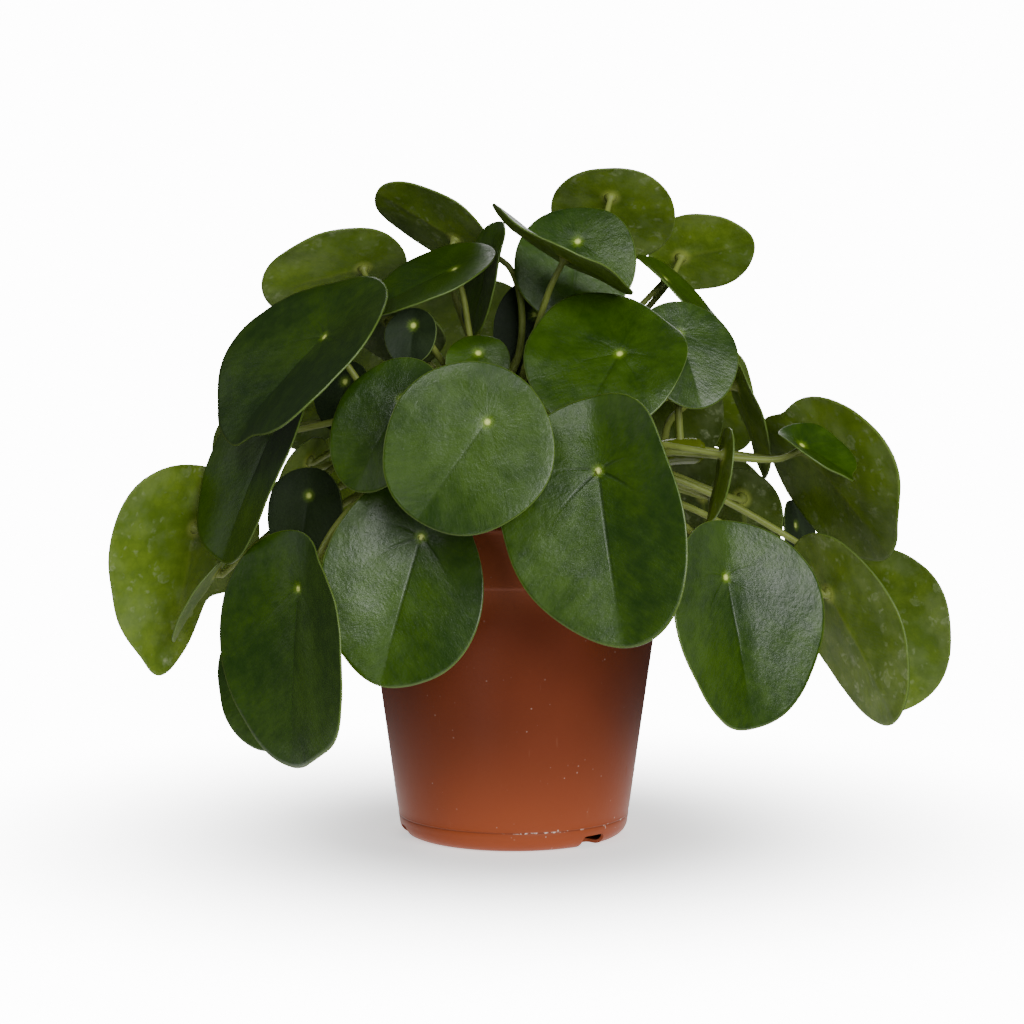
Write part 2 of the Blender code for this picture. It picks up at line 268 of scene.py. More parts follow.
# %% Fading floor
FLOOR_GLOW = 0.9
FLOOR_RADIUS = 0.5
FLOOR_FADE = (0.05, 0.27)  # metres from the middle
FLOOR_CONSTANTS = {
    "Roughness": 0.8,
    "Base Color": (0.9, 0.9, 0.9, 1),
    "Emission Color": WHITE,
    "Emission Strength": FLOOR_GLOW,
}


def floor_finish():
    floor = Finish("pale_floor", FLOOR_CONSTANTS)
    reach = floor.node("ShaderNodeVectorMath", {"operation": "LENGTH"}, {0: floor.place()}, "Value")
    clear = floor.node("ShaderNodeBsdfTransparent")
    solid = Signal(floor, floor.shader.outputs[0])
    faded = floor.node("ShaderNodeMixShader", {}, {0: floor.fade(reach, *FLOOR_FADE), 1: solid, 2: clear})
    floor.feed(floor.tree.nodes["Material Output"].inputs["Surface"], faded)
    return floor


def make_floor():
    bm = bmesh.new()
    bmesh.ops.create_circle(bm, cap_ends=True, segments=96, radius=FLOOR_RADIUS)
    mesh = bpy.data.meshes.new("floor")
    bm.to_mesh(mesh)
    bm.free()
    mesh.materials.append(floor_finish().material)
    floor = bpy.data.objects.new("floor", mesh)
    bpy.context.scene.collection.objects.link(floor)


make_floor()
print("the floor fades between", FLOOR_FADE, "metres")

# %% [markdown]
# ## Making pieces
#
# Every piece is built in a bmesh and becomes an object at the origin, so its place is in its
# mesh. It rides on the root body, stands for its CAD nodes and names its material slot.

# %% Finish a piece
def finish_piece(name, bm, finishes, nodes):
    """The object of a finished bmesh, which stands for the named CAD nodes."""
    mesh = bpy.data.meshes.new(name)
    bm.to_mesh(mesh)
    bm.free()
    mesh.shade_smooth()
    for finish in finishes:
        mesh.materials.append(finish.material)
    piece = bpy.data.objects.new(name, mesh)
    bpy.context.scene.collection.objects.link(piece)
    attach(piece, "root")
    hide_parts(*nodes)
    return piece


print("pieces ride on the root body")

# %% [markdown]
# A CAD node is a set of loose triangles. Once a copy of it is merged, its rings can be read by
# walking along its edges, one step at a time.

# %% Read rings from the CAD
MERGE = 0.02 * MM


def merged(name):
    """A copy of a CAD node with its loose triangles joined."""
    bm = bmesh.new()
    bm.from_mesh(NODES[name].data)
    bmesh.ops.remove_doubles(bm, verts=bm.verts, dist=MERGE)
    return bm


def rings_from(start):
    """Rings of vertices, each one edge further from the start."""
    seen = set(start)
    level = list(start)
    rings = []
    while level:
        rings.append([vertex.co.copy() for vertex in level])
        near = dict.fromkeys(edge.other_vert(vertex) for vertex in level for edge in vertex.link_edges)
        level = [vertex for vertex in near if vertex not in seen]
        seen.update(level)
    return rings


def middle(points):
    return sum(points, Vector()) / len(points)


print("points closer than", MERGE / MM, "mm are merged")

# %% [markdown]
# Stalks and shoots are tubes, and blades and soil are discs of rings. Both grow in the same way:
# the open edge is extruded, and the new ring is moved to its place.

# %% Grow tubes and discs
def extruded(bm, edges):
    """The vertices and the open edges of a new ring, which still lies on the old one."""
    made = bmesh.ops.extrude_edge_only(bm, edges=edges)["geom"]
    ring = [part for part in made if isinstance(part, bmesh.types.BMVert)]
    edges = [part for part in made if isinstance(part, bmesh.types.BMEdge) and part.is_boundary]
    return ring, edges


def disc_of_rings(bm, segments, rings, radius):
    """A flat disc round the origin. Returns its open edges."""
    bmesh.ops.create_circle(bm, cap_ends=True, cap_tris=True, segments=segments, radius=radius / rings)
    edges = [edge for edge in bm.edges if edge.is_boundary]
    for number in range(2, rings + 1):
        ring, edges = extruded(bm, edges)
        bmesh.ops.scale(bm, verts=ring, vec=Vector((1, 1, 1)) * number / (number - 1))
    return edges


def smooth_path(points, steps):
    """Points on a smooth curve through the given ones, steps for each stretch."""
    ends = [2 * points[0] - points[1], *points, 2 * points[-1] - points[-2]]
    path = []
    for a, b, c, d in zip(ends, ends[1:], ends[2:], ends[3:]):
        for i in range(steps):
            t = i / steps
            bend = (2 * a - 5 * b + 4 * c - d) * t**2 + (3 * b - a - 3 * c + d) * t**3
            path.append(b + 0.5 * ((c - a) * t + bend))
    return [*path, points[-1].copy()]


def tube(bm, path, radii, sides, side=Vector((1, 0.2, 0.1))):
    """Extrudes a circle along the path. Its first vertex lies towards the side. Returns the rings."""
    rings = []
    place = None
    ahead_before = None
    for i, (point, radius) in enumerate(zip(path, radii)):
        ahead = (path[min(i + 1, len(path) - 1)] - path[max(i - 1, 0)]).normalized()
        if ahead_before is not None:
            side = ahead_before.rotation_difference(ahead) @ side
        side = (side - side.dot(ahead) * ahead).normalized()
        turn = Matrix((side, ahead.cross(side), ahead)).transposed().to_4x4()
        following = Matrix.Translation(point) @ turn @ Matrix.Scale(radius, 4)
        if place is None:
            ring = bmesh.ops.create_circle(bm, segments=sides, radius=1.0, matrix=following)["verts"]
            edges = list(dict.fromkeys(edge for vertex in ring for edge in vertex.link_edges))
        else:
            ring, edges = extruded(bm, edges)
            bmesh.ops.transform(bm, matrix=following @ place.inverted(), verts=ring)
        rings.append(ring)
        place = following
        ahead_before = ahead
    return rings


def close_ends(bm, rings, material=0):
    """Caps a tube, turns its faces outwards and gives them their material."""
    faces = list(dict.fromkeys(face for ring in rings for vertex in ring for face in vertex.link_faces))
    ends = rings[0] + rings[-1]
    edges = [edge for edge in bm.edges if edge.is_boundary and edge.verts[0] in ends]
    faces += bmesh.ops.holes_fill(bm, edges=edges, sides=0)["faces"]
    bmesh.ops.recalc_face_normals(bm, faces=faces)
    for face in faces:
        face.material_index = material


print("tubes and discs grow ring by ring")

# %% [markdown]
# ## Reading a leaf
#
# Each CAD leaf is a coarse solid: a point at the pale dot, two rings round it on the upper face,
# two below, and six rings down the stalk. Walking outwards from the dot gives these rings back,
# and with them the size, the fold along the midrib and the bend of the blade, so a smoother leaf
# can be drawn in the same place.

# %% Measure the CAD leaves
class Blade:
    """The measures of one leaf."""

    def __init__(self, name):
        bm = merged(name)
        pole = max(bm.verts, key=lambda vertex: len(vertex.link_edges))
        rings = rings_from([pole])
        bm.free()
        top, under = rings[2], rings[3]
        self.dot = rings[0][0]
        self.normal = (middle(top) - middle(under)).normalized()
        tip = max(top, key=lambda point: (point - self.dot).length) - self.dot
        self.tip = (tip - tip.dot(self.normal) * self.normal).normalized()
        self.side = self.normal.cross(self.tip)
        along = np.array([(point - self.dot).dot(self.tip) for point in top])
        across = np.array([(point - self.dot).dot(self.side) for point in top])
        lift = np.array([(point - self.dot).dot(self.normal) for point in top])
        self.length = float(along.max() - along.min())
        self.width = float(2 * abs(across).max())
        self.upper = float(-along.min() / self.length)
        shapes = np.stack([abs(across), -(along**2) / self.length], axis=1)
        self.fold, self.arch = (float(value) for value in np.linalg.lstsq(shapes, lift, rcond=None)[0])
        self.stalk = [middle(ring) for ring in rings[5:]]


LEAF_NAMES = sorted(name for name in NODES if name.startswith("leaf_"))
BLADES = {name: Blade(name) for name in LEAF_NAMES}
widths = sorted(round(blade.width / MM) for blade in BLADES.values())
print(len(BLADES), "leaves, widths in mm:", widths)

# %% [markdown]
# ## What differs from leaf to leaf
#
# No two leaves of a plant are the same. The oldest blades have deep side veins, the small inner ones get
# painted shade, a darker green, and many margins bulge or lose a piece on one side. Each of these is a
# small table by leaf, and a leaf that isn't in it gets the usual value.

# %% Leaf by leaf
SUNKEN = {"leaf_02": 0.95, "leaf_03": 0.85, "leaf_07": 0.45, "leaf_05": 0.35, "leaf_12": 0.35}
SUNKEN_ELSEWHERE = 0.22  # how deep the side veins are, from 0 to 1

# A tone of -1 is painted shade at its darkest, a near-black green for a leaf deep in the plant's shadow,
# and a smaller negative tone is lighter painted shade. A leaf that isn't listed gets a tone from 0 to 1.
PAINTED_SHADE_TONES = {f"leaf_{number}": -1.0 for number in (10, 13, 28, 29, 30, 37, 38, 39, 43)}
PAINTED_SHADE_TONES |= {"leaf_31": -0.30, "leaf_32": -0.30, "leaf_12": -0.15, "leaf_07": -0.10, "leaf_06": -0.10}

# Each change is a direction in degrees from the tip, how far the margin moves as a share of its
# radius, and how wide the change is in degrees.
UNEVEN = {
    "leaf_01": [(180, 0.05, 40)],
    "leaf_02": [(108, -0.20, 38), (150, 0.06, 30), (40, 0.05, 25), (-40, -0.04, 25)],
    "leaf_03": [(60, 0.05, 30), (132, -0.28, 32)],
    "leaf_05": [(95, -0.25, 50), (158, -0.17, 32), (0, 0.03, 30)],
    "leaf_07": [(25, 0.05, 22), (80, 0.045, 30), (165, -0.11, 55)],
    "leaf_09": [(68, 0.18, 24), (-145, 0.16, 28), (150, -0.20, 25)],
    "leaf_12": [(180, 0.28, 26), (140, 0.22, 28), (80, 0.15, 25), (-80, 0.14, 35), (30, -0.07, 20)],
    "leaf_15": [(8, 0.08, 12), (-42, -0.38, 36), (70, -0.08, 20), (140, 0.15, 30)],
    "leaf_24": [(180, 0.08, 30)],
    "leaf_33": [(-88, 0.28, 32), (-165, -0.25, 22)],
    "leaf_34": [(48, 0.06, 25), (10, -0.08, 20)],
    "leaf_48": [(-90, -0.28, 45)],
}
print(len(UNEVEN), "blades with an uneven margin")

# %% [markdown]
# ## Shaping a blade
#
# A real blade is not flat. It sinks into a small navel at the dot, folds softly along the
# midrib, carries shallow grooves over the main veins, waves at its margin and turns down there.
# Sculpting 48 of them would take days. A formula with a few random sizes makes each one different.

# %% Blade surface
TIP_NARROWING = 0.05
SIDE_VEINS = (58, 112)  # degrees from the tip, on both sides
VEIN_BEND = 0.30  # how far the side veins turn towards the tip
GROOVE_WIDTH = 1.6 * MM
GROOVE_DEPTH = 0.40 * MM
NAVEL_WIDTH = 2.6 * MM
NAVEL_DEPTH = 0.5 * MM
RIPPLE_LENGTH = 9 * MM
RIPPLE_HEIGHT = 0.35 * MM


def hump(offset, width):
    """1 at no offset, and about a third one width away."""
    return math.exp(-((offset / width) ** 2))


class BladeShape:
    """Moves points of a flat disc to the leaf's surface."""

    def __init__(self, name, number):
        self.blade = BLADES[name]
        self.uneven = UNEVEN.get(name, [])
        self.sunken = SUNKEN.get(name, SUNKEN_ELSEWHERE)
        pick = random.Random(number)
        self.lobes = [(k, pick.uniform(0.006, 0.014), pick.uniform(0, 2 * math.pi)) for k in (2, 3, 5)]
        self.waves = [
            (3, pick.uniform(0.010, 0.018), pick.uniform(0, 2 * math.pi)),
            (7, pick.uniform(0.002, 0.005), pick.uniform(0, 2 * math.pi)),
        ]
        self.curl = pick.uniform(0.002, 0.012)
        self.seed = number * 7.3
        self.tone = PAINTED_SHADE_TONES[name] if name in PAINTED_SHADE_TONES else pick.uniform(0, 1)

    def flat(self, share, turn):
        """(across, along) in metres from the dot."""
        blade = self.blade
        reach = 1 + share * sum(size * math.cos(k * turn + start) for k, size, start in self.lobes)
        for direction, size, spread in self.uneven:
            off = (math.degrees(turn) - direction + 180) % 360 - 180
            reach += share * size * hump(off, spread)
        along = share * reach * blade.length * (0.5 - blade.upper + 0.5 * math.cos(turn))
        across = share * reach * blade.width * 0.5 * math.sin(turn)
        return across * (1 - TIP_NARROWING * math.cos(turn)), along

    def groove(self, across, along, share):
        """Depth of the vein grooves, from 0 to about 1."""
        radius = math.hypot(across, along)
        depth = 0.0
        if along > 0:
            depth += 0.8 * hump(across, GROOVE_WIDTH) * (1 - 0.6 * share)
        angle = math.degrees(math.atan2(abs(across), along))
        for direction in SIDE_VEINS:
            off = math.radians(angle - direction * (1 - VEIN_BEND * share)) * radius
            depth += hump(off, GROOVE_WIDTH) * max(0, 1 - 1.5 * share) * self.sunken
        return depth * (1 - math.exp(-radius / (3 * MM)))

    def lift(self, across, along, share, turn):
        """Height above the plane through the dot. Deep veins go with a sharper fold."""
        blade = self.blade
        radius = math.hypot(across, along)
        soft = (0.17 - 0.12 * self.sunken) * blade.width
        height = blade.fold * (math.hypot(across, soft) - soft) - blade.arch * along**2 / blade.length
        for k, size, start in self.waves:
            height += size * blade.width * share**2 * math.sin(k * turn + start)
        height -= self.curl * blade.width * share**6
        height -= NAVEL_DEPTH * hump(radius, NAVEL_WIDTH)
        height -= GROOVE_DEPTH * self.groove(across, along, share)
        ripple = noise.noise(Vector((across / RIPPLE_LENGTH, along / RIPPLE_LENGTH, self.seed)))
        return height + RIPPLE_HEIGHT * ripple * min(1, radius / (8 * MM))

    def point(self, share, turn):
        across, along = self.flat(share, turn)
        height = self.lift(across, along, share, turn)
        blade = self.blade
        place = blade.dot + along * blade.tip + across * blade.side + height * blade.normal
        return place, across, along


print("groove depth in mm:", GROOVE_DEPTH / MM, "navel depth in mm:", NAVEL_DEPTH / MM)

# %% [markdown]
# ## A solid blade
#
# One flat disc of rings is made with operators, then each of its points is moved to the leaf, and
# the sheet gets its thickness. The points stand closer together near the midrib, where the surface
# bends most. Each point also keeps where it is on the leaf, because the finishes read that: veins
# and wrinkles follow the blade, not the room.

# %% Blade solid
BLADE_SEGMENTS = 96
BLADE_RINGS = 26
BLADE_THICKNESS = 0.6 * MM
CROWD_RINGS = 0.05
CROWD_MIDRIB = 0.55
VEIN_SLOPE = 0.8  # how steeply the side veins leave the midrib
VEIN_STRETCH = 1.28  # length along such a vein for each step across
FAN_SPACING = 12  # mm for each radian between the veins above the dot


def vein_place(across, along):
    """(position across the side veins, position along them) in mm. Side veins leave the midrib
    below the dot, and fan out from the dot above it."""
    x, y = abs(across) / MM, along / MM
    if y > VEIN_SLOPE * x:
        return y - VEIN_SLOPE * x, VEIN_STRETCH * x
    return -FAN_SPACING * (math.atan2(x, y) - math.atan2(1, VEIN_SLOPE)), math.hypot(x, y)


def add_blade(bm, shape, layers):
    """A solid blade, with material 0 on its upper faces and 1 on its lower ones."""
    disc_of_rings(bm, BLADE_SEGMENTS, BLADE_RINGS, 1.0)
    for vertex in bm.verts:
        share = min(1.0, vertex.co.to_2d().length)
        turn = math.atan2(vertex.co.y, vertex.co.x)
        share -= CROWD_RINGS * math.sin(2 * math.pi * share)
        turn -= CROWD_MIDRIB * math.sin(turn)
        vertex.co, across, along = shape.point(share, turn)
        vertex[layers["blade"]] = (across / MM, along / MM, share)
        vertex[layers["vein"]] = (*vein_place(across, along), math.hypot(across, along) / MM)
        vertex[layers["leaf"]] = (shape.tone, shape.seed, shape.sunken)
    bmesh.ops.recalc_face_normals(bm, faces=bm.faces)
    if sum((face.normal for face in bm.faces), Vector()).dot(shape.blade.normal) < 0:
        bmesh.ops.reverse_faces(bm, faces=bm.faces)
    bmesh.ops.solidify(bm, geom=bm.faces, thickness=BLADE_THICKNESS)
    bm.normal_update()
    for face in bm.faces:
        face.material_index = 1 if face.normal.dot(shape.blade.normal) < -0.2 else 0


print("blade rings:", BLADE_RINGS, "segments:", BLADE_SEGMENTS)

# %% [markdown]
# ## Stalks
#
# A stalk is a thin round rod that meets the blade from below, under the dot. It widens into a
# small collar there and into a soft foot where it leaves the shoot. A circle extruded along a
# smooth curve through the CAD stalk's rings gives both.

# %% Stalk
STALK_SIDES = 12
STALK_TOP = 1.10 * MM
STALK_FOOT = 1.55 * MM
FOOT_SWELL = 0.9 * MM
FOOT_SHARE = 0.09  # of the stalk's length
FOOT_REACH = 2.2 * MM  # how far the foot goes on, to meet the shoot
COLLAR = ((0.6 * MM, 2.6 * MM), (1.9 * MM, 1.75 * MM))  # depth below the dot, and radius


def add_stalk(bm, blade, layers):
    """A solid stalk with material 2."""
    foot = blade.stalk[-1]
    below = foot + FOOT_REACH * (foot - blade.stalk[-2]).normalized()
    path = [blade.dot - depth * blade.normal for depth, _ in COLLAR]
    path += smooth_path([*blade.stalk, below], 6)
    shares = [i / (len(path) - 1) for i in range(len(path))]
    radii = [STALK_TOP + (STALK_FOOT - STALK_TOP) * share for share in shares]
    radii = [radius + FOOT_SWELL * hump(1 - share, FOOT_SHARE) for radius, share in zip(radii, shares)]
    radii[: len(COLLAR)] = [radius for _, radius in COLLAR]
    rings = tube(bm, path, radii, STALK_SIDES, blade.side)
    close_ends(bm, rings, 2)
    for ring, share in zip(rings, shares):
        for vertex in ring:
            vertex[layers["foot"]] = (share, 0.0, 0.0)


print("stalk sides:", STALK_SIDES)

# %% [markdown]
# ## Creases
#
# The midrib and the side veins near the dot are sunken, and painted shade darkens them to thin dark lines.
# They could be painted in an image, but as distances from a line they stay sharp at any size.

# %% Vein lines
def creases(leaf, across, along, share, radius, sunken):
    """The midrib and the side veins near the dot, as thin lines from 0 to 1."""
    line = (1 - leaf.fade(abs(across), 0.10, 0.90)) * leaf.fade(along, 1.0, 5.0)
    line = line * (1 - leaf.fade(share, 0.30, 0.95)) * (sunken * 0.6 + 0.3)
    angle = leaf.math_of("ARCTAN2", abs(across), along)
    near = leaf.fade(radius, 1.2, 3.5) * (1 - leaf.fade(share, 0.12, 0.52)) * sunken
    for direction in SIDE_VEINS:
        off = abs(angle - math.radians(direction) * (1 - share * VEIN_BEND)) * radius
        line = line + (1 - leaf.fade(off, 0.10, 0.85)) * near
    return line


print("side veins leave at", SIDE_VEINS, "degrees")

# %% [markdown]
# ## Upper face
#
# The upper face is a deep, slightly blotched green with a satin skin. Fine wrinkles run along the side
# veins and catch the light. The dot is pale yellow with a green halo, and the margin is a thin pale line.
# The darkest leaves stand inside the plant, in its shadow: their dark green is painted shade, and they are
# duller.

# %% Upper finish
DEEP_GREEN = (0.0110, 0.0380, 0.0005)
BRIGHT_GREEN = (0.046, 0.104, 0.0010)
TONED_GREEN = (0.030, 0.076, 0.0010)
# The next colour is painted shade, for leaves in the plant's shadow.
PAINTED_SHADE_GREEN = (0.003, 0.012, 0.0008)
# The next colour is painted shade in the sunken veins.
PAINTED_CREASE_SHADE = (0.004, 0.018, 0.0008)
HALO_GREEN = (0.17, 0.29, 0.010)
DOT_YELLOW = (0.74, 0.84, 0.22)
MARGIN_GREEN = (0.15, 0.23, 0.04)
MARGIN = (0.984, 0.996)  # where the margin starts and is full, as a share of the blade
DULLNESS = 0.35


def leaf_top_finish():
    leaf = Finish("leaf_upper_face", {"IOR": 1.52})
    across, along, share = leaf.attribute("blade")
    vein_across, vein_along, radius = leaf.attribute("vein")
    tone, seed, sunken = leaf.attribute("leaf")
    streak = leaf.noise(1.0, leaf.vector(vein_across * 0.45, vein_along * 0.14, seed), 3.0, 0.6)
    blotch = leaf.noise(150.0, None, 4.0, 0.62)
    wide = leaf.noise(26.0, None, 1.0)
    light = leaf.fade(blotch * 0.45 + streak * 0.30 + wide * 0.55, 0.44, 0.92)
    green = leaf.mix(light, DEEP_GREEN, BRIGHT_GREEN)
    green = leaf.mix(tone * 0.30, green, TONED_GREEN)
    # Painted shade: a negative tone darkens the blade towards a near-black green.
    green = leaf.mix(tone * -0.75, green, PAINTED_SHADE_GREEN)
    crease = creases(leaf, across, along, share, radius, sunken)
    # Painted shade: darker green along the sunken veins.
    green = leaf.mix(crease * 0.45, green, PAINTED_CREASE_SHADE)
    rays = leaf.noise(1.0, leaf.vector(vein_across * 0.8, seed, 0.0), 1.0)
    halo = (1 - leaf.fade(radius + rays * 2.4, 1.2, 4.6)) * 0.80
    green = leaf.mix(halo, green, HALO_GREEN)
    dot = 1 - leaf.fade(radius + rays * 0.5, 0.65, 1.75)
    green = leaf.mix(dot, green, DOT_YELLOW)
    green = leaf.mix(leaf.fade(share, *MARGIN) * 0.55, green, MARGIN_GREEN)
    wrinkle = leaf.noise(1.0, leaf.vector(vein_across * 1.0, vein_along * 0.42, seed), 3.0, 0.65)
    dents = leaf.noise(520.0, None, 3.0, 0.6)
    height = wrinkle * 0.60 + dents * 0.80 - crease
    dull = leaf.fade(tone * -1.0, 0.0, 1.0) * DULLNESS
    leaf.surface(green, 0.26 + blotch * 0.14 + wrinkle * 0.06 + dull, height, 0.00021)
    return leaf


print("dot colour:", DOT_YELLOW)

# %% [markdown]
# ## Underside
#
# The underside is paler, matt and olive, with a fine net of veins. Hard water leaves pale mineral
# marks on it: rings, pools and specks, mostly in the outer half. They are the cells of a Voronoi
# texture, read at places shaken by noise, because dried drops are never quite round.

# %% Underside finish
DARK_OLIVE = (0.072, 0.132, 0.0040)
LIGHT_OLIVE = (0.140, 0.220, 0.0110)
TONED_OLIVE = (0.098, 0.160, 0.0080)
# The next colour is painted shade, for undersides in the plant's shadow.
PAINTED_SHADE_OLIVE = (0.020, 0.036, 0.0015)
NET_GREEN = (0.040, 0.080, 0.003)
HAZE = (0.26, 0.32, 0.14)
MINERAL = (0.34, 0.40, 0.22)
MIDRIB_GREEN = (0.17, 0.24, 0.02)
COLLAR_GREEN = (0.30, 0.36, 0.06)
SHAKE = 0.006  # metres


def shaken_place(leaf):
    shake = leaf.node("ShaderNodeTexNoise", {}, {"Vector": leaf.place(), "Scale": 260.0}, "Color")
    sockets = {0: shake, 1: (SHAKE, SHAKE, SHAKE), 2: leaf.place()}
    return leaf.node("ShaderNodeVectorMath", {"operation": "MULTIPLY_ADD"}, sockets)


def mineral_marks(leaf, outer):
    """Rings, pools and specks, where they are likely and not rubbed off."""
    place = shaken_place(leaf)
    ring_distance = leaf.cells(105.0, place, "F1", 0.9)
    ring = leaf.fade(ring_distance, 0.12, 0.20) * (1 - leaf.fade(ring_distance, 0.20, 0.30))
    pool = 1 - leaf.fade(ring_distance, 0.10, 0.26)
    speck = 1 - leaf.fade(leaf.cells(240.0, place), 0.08, 0.34)
    likely = leaf.fade(leaf.noise(45.0, None, 1.0) + outer, 0.46, 0.66)
    smear = leaf.noise(420.0, None, 3.0, 0.7)
    return (ring * 0.45 + pool * 0.30 + speck * 0.55) * likely * leaf.fade(smear, 0.32, 0.60)


def leaf_under_finish():
    leaf = Finish("leaf_underside", {"IOR": 1.33})
    across, along, share = leaf.attribute("blade")
    vein_across, vein_along, radius = leaf.attribute("vein")
    tone, seed, _ = leaf.attribute("leaf")
    blotch = leaf.noise(130.0, None, 3.0, 0.6)
    wide = leaf.noise(35.0, None, 1.0)
    light = leaf.fade(blotch * 0.65 + wide * 0.5, 0.42, 0.78)
    olive = leaf.mix(light, DARK_OLIVE, LIGHT_OLIVE)
    olive = leaf.mix(tone * 0.3, olive, TONED_OLIVE)
    # Painted shade: a negative tone darkens the underside towards a near-black olive.
    olive = leaf.mix(tone * -0.70, olive, PAINTED_SHADE_OLIVE)
    net = leaf.cells(260.0, None, "DISTANCE_TO_EDGE")
    olive = leaf.mix((1 - leaf.fade(net, 0.02, 0.10)) * 0.12, olive, NET_GREEN)
    outer = leaf.fade(share, 0.25, 1.0) * 0.16
    mineral = mineral_marks(leaf, outer)
    haze = leaf.fade(leaf.noise(95.0, None, 3.0, 0.6) + outer, 0.50, 0.85)
    olive = leaf.mix(haze * 0.22, olive, HAZE)
    olive = leaf.mix(mineral * 0.62, olive, MINERAL)
    midrib = (1 - leaf.fade(abs(across), 0.4, 1.1)) * leaf.fade(along, 0.5, 3.0)
    olive = leaf.mix(midrib * 0.3 * (1 - leaf.fade(share, 0.4, 0.95)), olive, MIDRIB_GREEN)
    olive = leaf.mix((1 - leaf.fade(radius, 1.8, 5.0)) * 0.7, olive, COLLAR_GREEN)
    olive = leaf.mix(leaf.fade(share, *MARGIN) * 0.55, olive, MARGIN_GREEN)
    wrinkle = leaf.noise(1.0, leaf.vector(vein_across * 0.7, vein_along * 0.25, seed), 2.0)
    height = wrinkle * 0.6 + blotch * 0.5 + mineral * 0.5
    leaf.surface(olive, 0.50 + blotch * 0.16, height, 0.00018)
    return leaf


print("mineral marks are shaken by up to", SHAKE / MM, "mm")

# %% [markdown]
# A stalk is a paler green than its blade, a little brown at the foot, with tiny pale pores.

# %% Stalk finish
def stalk_finish():
    stalk = Finish("leaf_stalk", {"IOR": 1.42})
    foot, _, _ = stalk.attribute("foot")
    patch = stalk.noise(140.0, None, 2.0)
    green = stalk.mix(patch, (0.12, 0.160, 0.022), (0.24, 0.290, 0.060))
    green = stalk.mix(stalk.fade(foot, 0.80, 1.0) * 0.5, green, (0.16, 0.095, 0.03))
    speck = 1 - stalk.fade(stalk.cells(700.0), 0.05, 0.16)
    green = stalk.mix(speck * 0.4, green, (0.45, 0.46, 0.25))
    stalk.surface(green, 0.42 + patch * 0.12, patch + speck * 0.3, 0.0002)
    return stalk


LEAF_FINISHES = [leaf_top_finish(), leaf_under_finish(), stalk_finish()]
print("leaf finishes:", [finish.material.name for finish in LEAF_FINISHES])

# %% [markdown]
# ## All the leaves
#
# A blade and its stalk are one piece, as they grew. The four attributes are made before the first
# vertex, because adding one later would spoil the script's hold on the vertices it already made.

# %% Make every leaf
def make_leaf(name):
    number = int(name.split("_")[1])
    bm = bmesh.new()
    layers = {label: bm.verts.layers.float_vector.new(label) for label in ("blade", "vein", "leaf", "foot")}
    add_blade(bm, BladeShape(name, number), layers)
    add_stalk(bm, BLADES[name], layers)
    return finish_piece(f"leaf_view_{number:02d}", bm, LEAF_FINISHES, [name])


leaf_pieces = [make_leaf(name) for name in LEAF_NAMES]
print("faces in all leaves:", sum(len(piece.data.polygons) for piece in leaf_pieces))

# %% [markdown]
# ## Shoots
#
# The shoots are short, scarred stems. Each is a tube through the CAD shoot's rings, a little
# thicker at every leaf scar, with a dome on top. The right one is young and nearly smooth.

# %% Shoot shapes
SHOOT_SIDES = 28
SCAR_GAP = 6.5 * MM
SCAR_WIDTH = 0.8 * MM
SCAR_SIZE = 0.05  # as a share of the radius
YOUNG_SCAR_SIZE = 0.015


def shoot_rings(name):
    bm = merged(name)
    lowest = min(vertex.co.z for vertex in bm.verts)
    rings = rings_from([vertex for vertex in bm.verts if vertex.co.z < lowest + 0.1 * MM])
    bm.free()
    return rings


def make_shoot(name, finish, scar_size):
    rings = shoot_rings(name)
    centres = [middle(ring) for ring in rings]
    sizes = [max((point - centre).length for point in ring) for ring, centre in zip(rings, centres)]
    path = smooth_path(centres, 6)
    radii = np.interp(np.linspace(0, len(sizes) - 1, len(path)), range(len(sizes)), sizes)
    bm = bmesh.new()
    layer = bm.verts.layers.float_vector.new("shoot")
    made = tube(bm, path, radii, SHOOT_SIDES)
    walked = 0.0
    for i, ring in enumerate(made):
        walked += (path[i] - path[max(i - 1, 0)]).length
        phase = (walked / SCAR_GAP) % 1.0
        scar = hump(min(phase, 1 - phase) * SCAR_GAP, SCAR_WIDTH)
        centre = middle([vertex.co for vertex in ring])
        for vertex in ring:
            out = vertex.co - centre
            bump = scar_size * (scar + noise.noise(vertex.co / (3 * MM)))
            vertex.co = centre + out * (1 + bump)
            vertex[layer] = (walked / MM, scar, i / (len(made) - 1))
    close_ends(bm, made)
    return finish_piece(name + "_view", bm, [finish], [name])


print("a leaf scar every", SCAR_GAP / MM, "mm")

# %% [markdown]
# The bark is brown at the foot, where old leaves have dropped, and green at the growing end. The
# young shoot is glossy green over its whole length.

# %% Shoot finishes
DARK_BARK = (0.030, 0.018, 0.010)
LIGHT_BARK = (0.13, 0.085, 0.045)
SCAR_BROWN = (0.07, 0.045, 0.022)


def shoot_finish(name, green_from, green_to, young, rough):
    """Bark that turns green between two shares of the shoot's height."""
    shoot = Finish(name, {"IOR": 1.45})
    _, scar, climb = shoot.attribute("shoot")
    patch = shoot.noise(220.0, None, 3.0, 0.6)
    streak = shoot.noise(1.0, shoot.node("ShaderNodeMapping", {}, {0: shoot.place(), 3: (700, 700, 90)}))
    bark = shoot.mix(patch, DARK_BARK, LIGHT_BARK)
    green = shoot.mix(patch, young, tuple(1.5 * part for part in young))
    colour = shoot.mix(shoot.fade(climb + patch * 0.25, green_from, green_to), bark, green)
    aged = 1 - shoot.fade(climb, green_from, green_to) * 0.85
    colour = shoot.mix(scar * aged * 0.35, colour, SCAR_BROWN)
    shoot.surface(colour, rough + patch * 0.2, (streak + patch * 0.6 + scar * 0.5) * aged, 0.0005)
    return shoot


